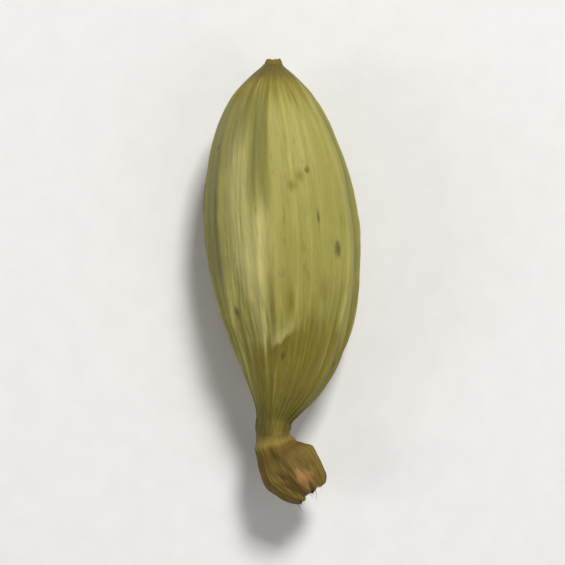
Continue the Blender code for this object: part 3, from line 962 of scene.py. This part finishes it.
def make_flower(place):
    """The withered flower: a crumpled tube with a thick papery wall, open at its torn end."""
    outer = np.linspace(NECK_END - SUNK, FLOWER_END, FLOWER_RINGS)
    inner = np.linspace(FLOWER_END, FLOWER_END - CUP_DEPTH, FLOWER_RINGS // 3)
    s, around = rings(np.concatenate([outer, inner]), FLOWER_POINTS)
    inside = np.zeros_like(s)
    inside[FLOWER_RINGS:] = 1.0
    root = ROOT_INSET * (1.0 - smoothstep(NECK_END - SUNK, NECK_END, s))
    points = flower_points(s, around, np.where(inside > 0.5, WALL, root))
    beyond = s - NECK_END
    angle = skin_angle(s, around * RIBS)
    aside = angle_between(angle, PATCH_ANGLE) * flower_radius(s)
    patch = bump(beyond, PATCH_PLACE, PATCH_SIZE) * bump(aside, 0.0, PATCH_SIZE)
    # Painted light: the collar is paler on one side than on the other.
    painted_collar_light = 0.55 + 0.45 * np.cos(angle - PAINTED_COLLAR_LIGHT_FACES)
    attributes = {
        "grain": [grain_vector(s, around * RIBS)],
        "collar": [painted_collar_light * bump(beyond, PALE_COLLAR_PLACE, COLLAR_WIDTH) * (1.0 - inside)],
        "band": [0.8 * bump(beyond, BAND_PLACE, BAND_WIDTH) * (1.0 - inside)],
        "patch": [np.maximum(0.9 * patch, 0.8 * inside)],
    }
    return tube_mesh("withered_flower", [set_down(points, place)], flower_material(), attributes)


def make_stub(place):
    """The stub that the stalk left: short, ragged, and dished round a knot of fibres.
    The first half of its rings crosses the dish, and the second half is its wall."""
    draw = np.random.default_rng(STUB_SEED)
    step, around = rings(np.linspace(0.0, 1.0, STUB_RINGS), STUB_POINTS)
    dish = np.clip(step / 0.5, 0.04, 1.0)
    wall = np.clip((step - 0.5) / 0.5, 0.0, 1.0)
    hollow = DISH_DEPTH * (1.0 - dish**2) - KNOT_HEIGHT * bump(dish, 0.0, 0.3)
    s = -SCAR_LENGTH + hollow + (SCAR_LENGTH + STUB_ROOT) * wall
    rim = np.sqrt(1.0 - 0.55 * (1.0 - wall) ** 2)
    root = 1.0 - 0.25 * smoothstep(0.0, STUB_ROOT, s)
    uneven = 1.0 + sum(layer(kind, step, around, draw) for kind in STUB_LUMPS)
    radius = STUB_RADIUS * dish * rim * root * uneven
    torn = layer(STUB_TEARS, 0.0 * step, around, draw) * dish * (1.0 - wall)
    points = place_on_spine(np.maximum(s, -SCAR_LENGTH), radius, 2.0 * math.pi * around)
    points[..., 0] += torn
    attributes = {
        "grain": [grain_vector(s, around * RIBS)],
        "dish": [0.85 * (1.0 - smoothstep(0.55, 1.0, dish)) * (wall < 0.01)],
    }
    return tube_mesh("stalk_stub", [set_down(points, place)], stub_material(), attributes)


def fibre(root, heading_out, sag, length):
    """Rings of points round one thin tapering fibre."""
    share, around = rings(np.linspace(0.0, 1.0, FIBRE_RINGS), FIBRE_POINTS)
    path = root + length * (share[..., None] * heading_out + share[..., None] ** 2 * sag)
    side = np.cross(heading_out, (0.0, 0.0, 1.0))
    side /= np.linalg.norm(side)
    up = np.cross(side, heading_out)
    turn = 2.0 * math.pi * around[..., None]
    radius = FIBRE_RADIUS * (1.0 - FIBRE_TAPER * share[..., None])
    return path + radius * (np.cos(turn) * side + np.sin(turn) * up)


def make_fibres(place):
    """Torn fibres that stand on the rim of the withered flower."""
    draw = np.random.default_rng(FIBRE_SEED)
    outward = spine_frames(np.array([FLOWER_END]))[1][0]
    tubes = []
    for turn in np.sort(draw.uniform(0.0, 1.0, FIBRES)):
        root = flower_points(np.array([FLOWER_END - FIBRE_ROOT]), np.array([turn]), WALL / 2.0)[0]
        lean = draw.normal(0.0, FIBRE_LEAN, 3)
        heading_out = (outward + lean) / np.linalg.norm(outward + lean)
        length = FIBRE_LENGTH * draw.uniform(0.4, 1.0)
        sag = draw.normal(0.0, FIBRE_SAG, 3)
        tubes.append(set_down(fibre(root, heading_out, sag, length), place))
    return tube_mesh("torn_fibres", tubes, fibre_material(), {"grain": [tube / MM for tube in tubes]})


def make_floor():
    """The surface that the pod lies on."""
    half = FLOOR_HALF_WIDTH
    corners = [(-half, -half, 0.0), (half, -half, 0.0), (half, half, 0.0), (-half, half, 0.0)]
    mesh = bpy.data.meshes.new("floor")
    mesh.from_pydata(corners, [], [(0, 1, 2, 3)])
    mesh.materials.append(floor_material())
    floor = bpy.data.objects.new("floor", mesh)
    bpy.context.scene.collection.objects.link(floor)


def make_light(name, light):
    """A soft square light that faces the pod."""
    data = bpy.data.lights.new(name, "AREA")
    data.size = light["size"]
    data.energy = light["power"]
    lamp = bpy.data.objects.new(name, data)
    lamp.location = light["place"]
    aim = Vector(LIGHTS_AIM) - lamp.location
    lamp.rotation_euler = aim.to_track_quat("-Z", "Y").to_euler()
    bpy.context.scene.collection.objects.link(lamp)


def make_world():
    """Pale, even light from all round."""
    world = bpy.data.worlds.new("studio")
    world.use_nodes = True
    background = world.node_tree.nodes["Background"]
    background.inputs["Color"].default_value = (*SKY, 1.0)
    background.inputs["Strength"].default_value = SKY_STRENGTH
    bpy.context.scene.world = world


def show_true_colours():
    """Shows colours as they are, so that the pod keeps the greens of its materials."""
    bpy.context.scene.view_settings.view_transform = "Standard"


def make_camera():
    """The camera looks straight down, with the pod's base at the top of the picture."""
    low, high = cad_box
    middle = (low + high) / 2.0
    data = bpy.data.cameras.new("camera")
    data.lens = LENS
    data.sensor_width = SENSOR
    data.clip_start = 0.001
    data.clip_end = 5.0
    camera = bpy.data.objects.new("camera", data)
    camera.location = (middle.x, middle.y, middle.z + VIEW_HEIGHT * LENS / SENSOR)
    camera.rotation_euler = (0.0, 0.0, math.radians(90.0))
    bpy.context.scene.collection.objects.link(camera)
    bpy.context.scene.camera = camera


def main():
    """Builds the pod, its floor, lights and camera."""
    place = resting_place()
    husk = make_husk(place)
    for piece in (husk, make_flower(place), make_stub(place), make_fibres(place)):
        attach(piece, "root")
        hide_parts("pod")
    make_floor()
    make_world()
    make_light("key", KEY_LIGHT)
    make_light("fill", FILL_LIGHT)
    make_light("rim", RIM_LIGHT)
    show_true_colours()
    make_camera()


main()
